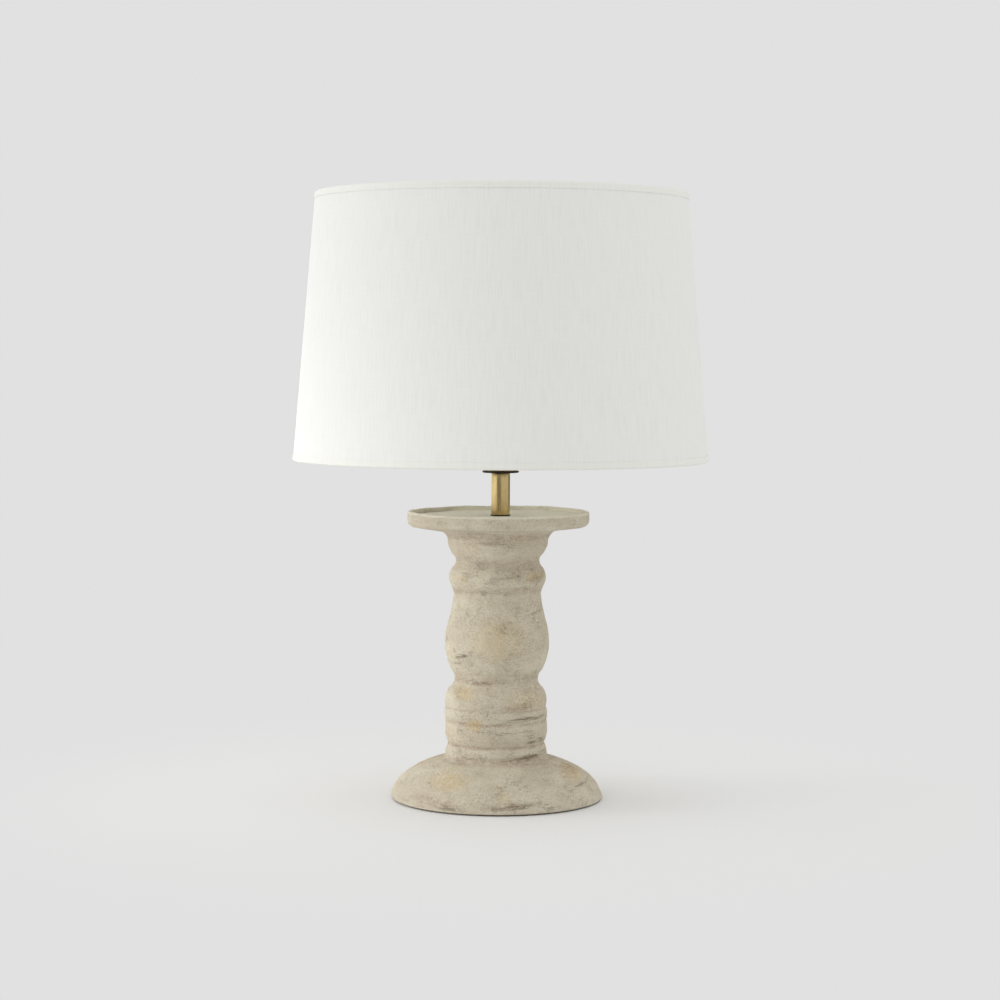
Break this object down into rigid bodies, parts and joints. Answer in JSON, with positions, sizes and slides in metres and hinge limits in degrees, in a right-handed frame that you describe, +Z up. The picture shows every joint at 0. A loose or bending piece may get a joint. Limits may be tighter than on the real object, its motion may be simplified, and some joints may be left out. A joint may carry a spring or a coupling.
{
  "type": "column table lamp",
  "caption": "Table lamp: hollow cast column with a round foot and a shallow dish, brass neck, socket with turn switch and bulb, and a linen drum shade on a removable wire harp.",
  "frame": {"origin": "on the floor, under the axis of the column, at the underside of the felt", "axes": "+Z up along the column; -Y is the front, where the switch knob points; the harp stands in the XZ plane"},
  "size_m": [0.4197, 0.4198, 0.612],
  "materials": {
    "felt": "short grey-brown wool felt",
    "zinc_steel": "zinc-plated steel",
    "cast_stone": "matt, pitted, aged stone look in cream, tan and grey-brown",
    "antique_brass": "satin antique brass",
    "bright_brass": "plain polished brass",
    "dark_bronze": "very dark brown bronze finish",
    "black_plastic": "satin black moulding",
    "phenolic": "dark brown moulded resin",
    "card": "grey-brown insulating card",
    "aluminium_cap": "bare rolled sheet",
    "seal_glass": "black glass",
    "solder": "dull solder",
    "opal_glass": "soft white opal glass",
    "white_wire": "white powder coat",
    "linen": "white slubbed linen",
    "linen_hem": "white linen, rolled over the edge",
    "styrene": "white translucent lining sheet"
  },
  "bodies": {
    "base": {"felt_pad": "felt", "base_plate": "zinc_steel", "column_body": "cast_stone", "cord_bushing": "black_plastic", "threaded_pipe": "zinc_steel", "bottom_washer": "zinc_steel", "lock_washer": "zinc_steel", "bottom_nut": "zinc_steel", "neck_washer": "dark_bronze", "neck_tube": "antique_brass", "check_ring": "dark_bronze", "harp_saddle": "antique_brass", "socket_cap": "antique_brass", "cap_set_screw": "antique_brass", "socket_shell": "antique_brass", "insulating_sleeve": "card", "socket_block": "phenolic", "terminal_screws": "bright_brass", "screw_shell": "bright_brass", "centre_contact": "bright_brass"},
    "switch": {"switch_shaft": "bright_brass", "switch_knob": "black_plastic"},
    "bulb": {"bulb_cap": "aluminium_cap", "bulb_seal": "seal_glass", "bulb_tip": "solder", "bulb_glass": "opal_glass"},
    "harp": {"harp_wire": "antique_brass", "harp_top": "antique_brass"},
    "left_sleeve": {"harp_sleeve_left": "antique_brass"},
    "right_sleeve": {"harp_sleeve_right": "antique_brass"},
    "shade": {"spider_hub": "white_wire", "spider_arms": "white_wire", "shade_top_ring": "white_wire", "shade_bottom_ring": "white_wire", "shade_liner": "styrene", "shade_cover": "linen", "shade_top_hem": "linen_hem", "shade_bottom_hem": "linen_hem"},
    "finial": {"finial_base": "antique_brass", "finial_ball": "antique_brass"}
  },
  "joints": [
    {"name": "switch_turn", "type": "hinge", "parent": "base", "child": "switch", "pos_m": [0, -0.02, 0.36445], "axis": [0, -1, 0], "continuous": true},
    {"name": "bulb_turn", "type": "hinge", "parent": "base", "child": "bulb", "pos_m": [0, 0, 0.46], "axis": [0, 0, 1], "range_deg": [0, 1080]},
    {"name": "harp_lift", "type": "slide", "parent": "base", "child": "harp", "axis": [0, 0, 1], "range_m": [0, 0.02]},
    {"name": "left_sleeve_slide", "type": "slide", "parent": "harp", "child": "left_sleeve", "axis": [0, 0, 1], "range_m": [0, 0.012]},
    {"name": "right_sleeve_slide", "type": "slide", "parent": "harp", "child": "right_sleeve", "axis": [0, 0, 1], "range_m": [0, 0.012]},
    {"name": "shade_turn", "type": "hinge", "parent": "harp", "child": "shade", "pos_m": [0, 0, 0.592], "axis": [0, 0, 1], "continuous": true},
    {"name": "finial_turn", "type": "hinge", "parent": "harp", "child": "finial", "pos_m": [0, 0, 0.6], "axis": [0, 0, 1], "continuous": true}
  ]
}
